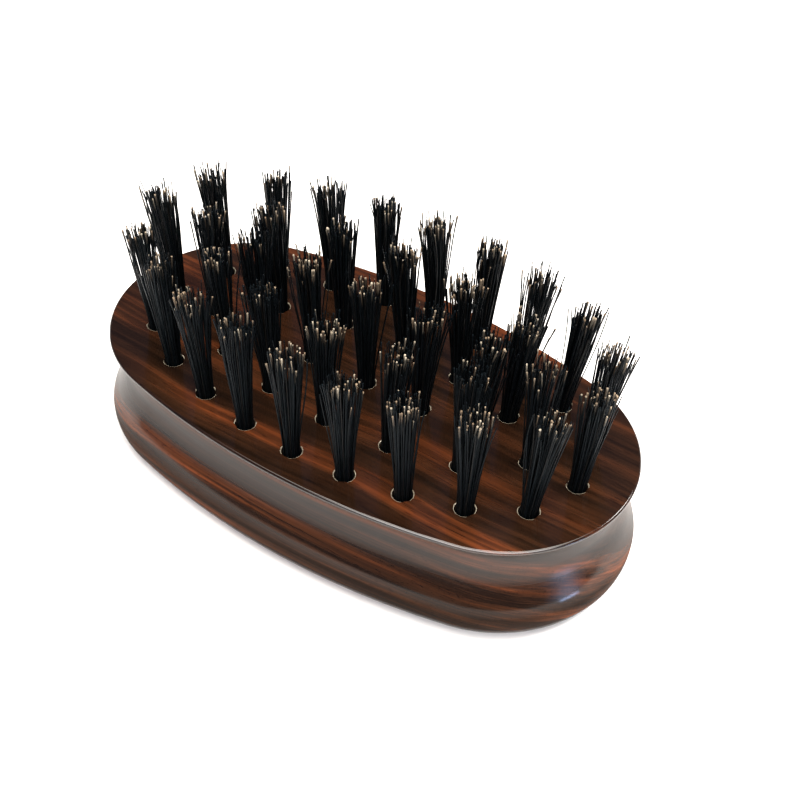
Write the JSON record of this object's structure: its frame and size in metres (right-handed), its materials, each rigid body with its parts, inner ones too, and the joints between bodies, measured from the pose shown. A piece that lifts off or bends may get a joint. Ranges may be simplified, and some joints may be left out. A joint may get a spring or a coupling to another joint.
{
  "type": "beard brush",
  "caption": "Oval wooden palm brush with a finger cove round its side and rings of upright bristle tufts anchored in its flat face.",
  "frame": {"origin": "the middle of the flat back that the brush lies on", "axes": "+X along the length of the block, +Y across it, +Z out of the bristle face along the tufts"},
  "size_m": [0.091, 0.049, 0.0381],
  "materials": {
    "rosewood": "dark red-brown rosewood with black and orange-red streaks along its length, under a high-gloss clear lacquer",
    "bristle": "black natural boar bristle with a cool sheen and paler tan cut ends",
    "anchor_steel": "plain bright flat wire, cut to length"
  },
  "bodies": {
    "root": {"brush_block": "rosewood", "anchors_outer": "anchor_steel", "anchors_middle": "anchor_steel", "anchors_centre": "anchor_steel", "tuft_outer_01": "bristle", "tuft_outer_02": "bristle", "tuft_outer_03": "bristle", "tuft_outer_04": "bristle", "tuft_outer_05": "bristle", "tuft_outer_06": "bristle", "tuft_outer_07": "bristle", "tuft_outer_08": "bristle", "tuft_outer_09": "bristle", "tuft_outer_10": "bristle", "tuft_outer_11": "bristle", "tuft_outer_12": "bristle", "tuft_outer_13": "bristle", "tuft_outer_14": "bristle", "tuft_outer_15": "bristle", "tuft_outer_16": "bristle", "tuft_outer_17": "bristle", "tuft_outer_18": "bristle", "tuft_outer_19": "bristle", "tuft_outer_20": "bristle", "tuft_middle_01": "bristle", "tuft_middle_02": "bristle", "tuft_middle_03": "bristle", "tuft_middle_04": "bristle", "tuft_middle_05": "bristle", "tuft_middle_06": "bristle", "tuft_middle_07": "bristle", "tuft_middle_08": "bristle", "tuft_middle_09": "bristle", "tuft_middle_10": "bristle", "tuft_middle_11": "bristle", "tuft_middle_12": "bristle", "tuft_centre_01": "bristle", "tuft_centre_02": "bristle", "tuft_centre_03": "bristle", "tuft_centre_04": "bristle", "tuft_centre_05": "bristle"}
  },
  "joints": []
}
